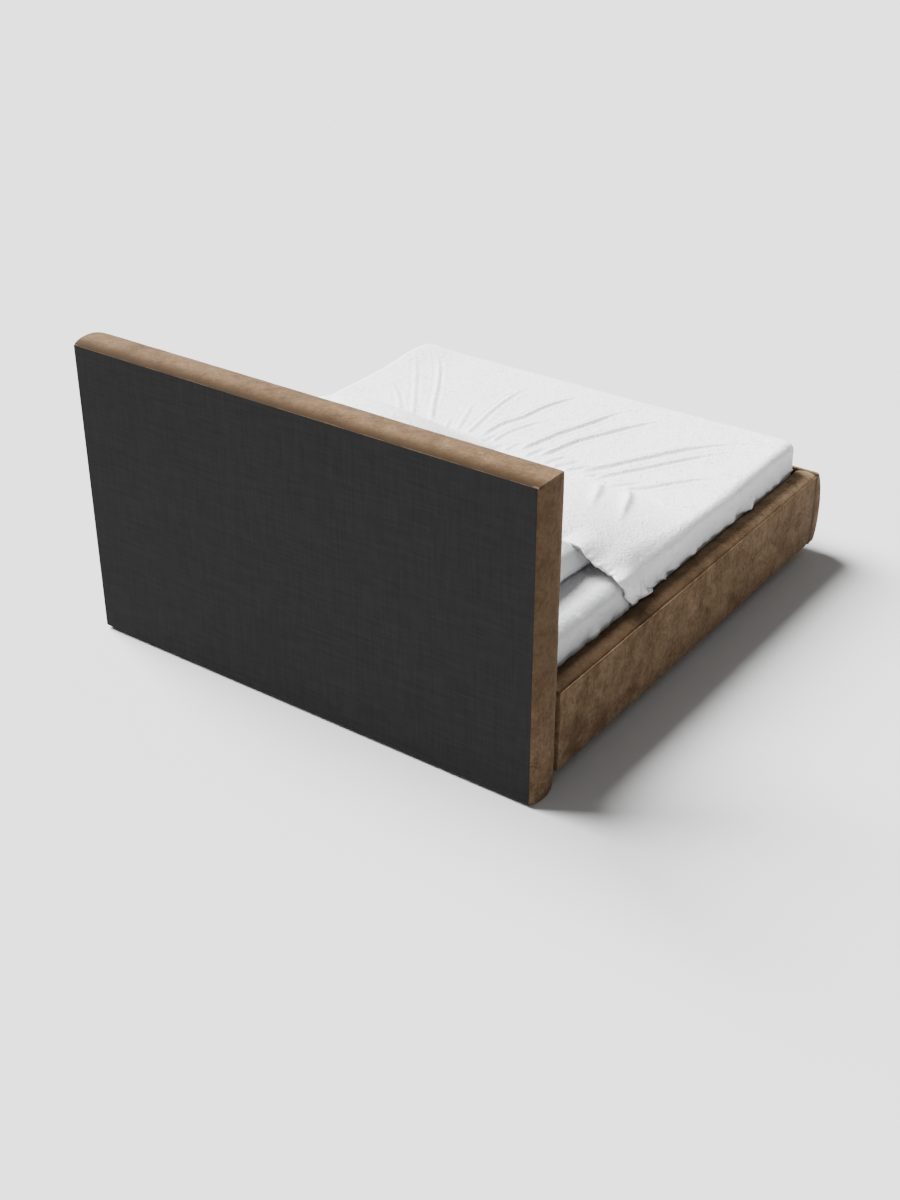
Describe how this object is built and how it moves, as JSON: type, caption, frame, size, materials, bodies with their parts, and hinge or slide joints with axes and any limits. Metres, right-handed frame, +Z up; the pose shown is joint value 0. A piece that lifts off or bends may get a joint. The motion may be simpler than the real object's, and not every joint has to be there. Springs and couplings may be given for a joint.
{
  "type": "upholstered bed",
  "caption": "Low double bed with a thick padded headboard, deep velvet side rails and a bulged footboard, on a slatted base with mattress and bedding.",
  "frame": {"origin": "on the floor, under the middle of the bed's outer box", "axes": "+Z up; the headboard is at +Y and the footboard at -Y; +X is the side that a person lying on their back has on their left"},
  "size_m": [2.019, 2.261, 1.209],
  "materials": {
    "brown_velvet": "short velvet nap, mottled where it is brushed",
    "charcoal_lining": "matt non-woven lining cloth",
    "upholstery_foam": "open-cell foam",
    "chipboard": "raw board",
    "pine": "planed, unfinished",
    "black_steel": "black powder coat",
    "black_plastic": "moulded, fine grain",
    "mattress_ticking": "woven ticking",
    "white_cotton": "plain woven cotton"
  },
  "bodies": {
    "root": {"beam_hanger_foot": "black_steel", "beam_hanger_head": "black_steel", "centre_beam": "pine", "centre_leg_foot_end": "black_steel", "centre_leg_head_end": "black_steel", "centre_leg_pad_foot_end": "black_plastic", "centre_leg_pad_head_end": "black_plastic", "corner_bracket_foot_far": "black_steel", "corner_bracket_foot_near": "black_steel", "corner_bracket_head_far": "black_steel", "corner_bracket_head_near": "black_steel", "duvet": "white_cotton", "fitted_sheet": "white_cotton", "footboard_board": "chipboard", "footboard_cover": "brown_velvet", "footboard_foam": "upholstery_foam", "footboard_foot_far": "black_plastic", "footboard_foot_near": "black_plastic", "headboard_cover": "brown_velvet", "headboard_foam": "upholstery_foam", "headboard_glide_far": "black_plastic", "headboard_glide_near": "black_plastic", "headboard_lining": "charcoal_lining", "headboard_panel": "chipboard", "headboard_rail_bottom": "pine", "headboard_rail_top": "pine", "headboard_stile_far": "pine", "headboard_stile_middle": "pine", "headboard_stile_near": "pine", "mattress": "mattress_ticking", "pillow_far": "white_cotton", "pillow_near": "white_cotton", "rail_cap_board_far": "chipboard", "rail_cap_board_near": "chipboard", "rail_cover_far": "brown_velvet", "rail_cover_near": "brown_velvet", "rail_foam_far": "upholstery_foam", "rail_foam_near": "upholstery_foam", "rail_inner_board_far": "chipboard", "rail_inner_board_near": "chipboard", "rail_outer_board_far": "chipboard", "rail_outer_board_near": "chipboard", "rail_welt_far": "brown_velvet", "rail_welt_near": "brown_velvet", "slat_01": "pine", "slat_02": "pine", "slat_03": "pine", "slat_04": "pine", "slat_05": "pine", "slat_06": "pine", "slat_07": "pine", "slat_08": "pine", "slat_09": "pine", "slat_10": "pine", "slat_11": "pine", "slat_12": "pine", "slat_ledger_far": "pine", "slat_ledger_near": "pine"}
  },
  "joints": []
}
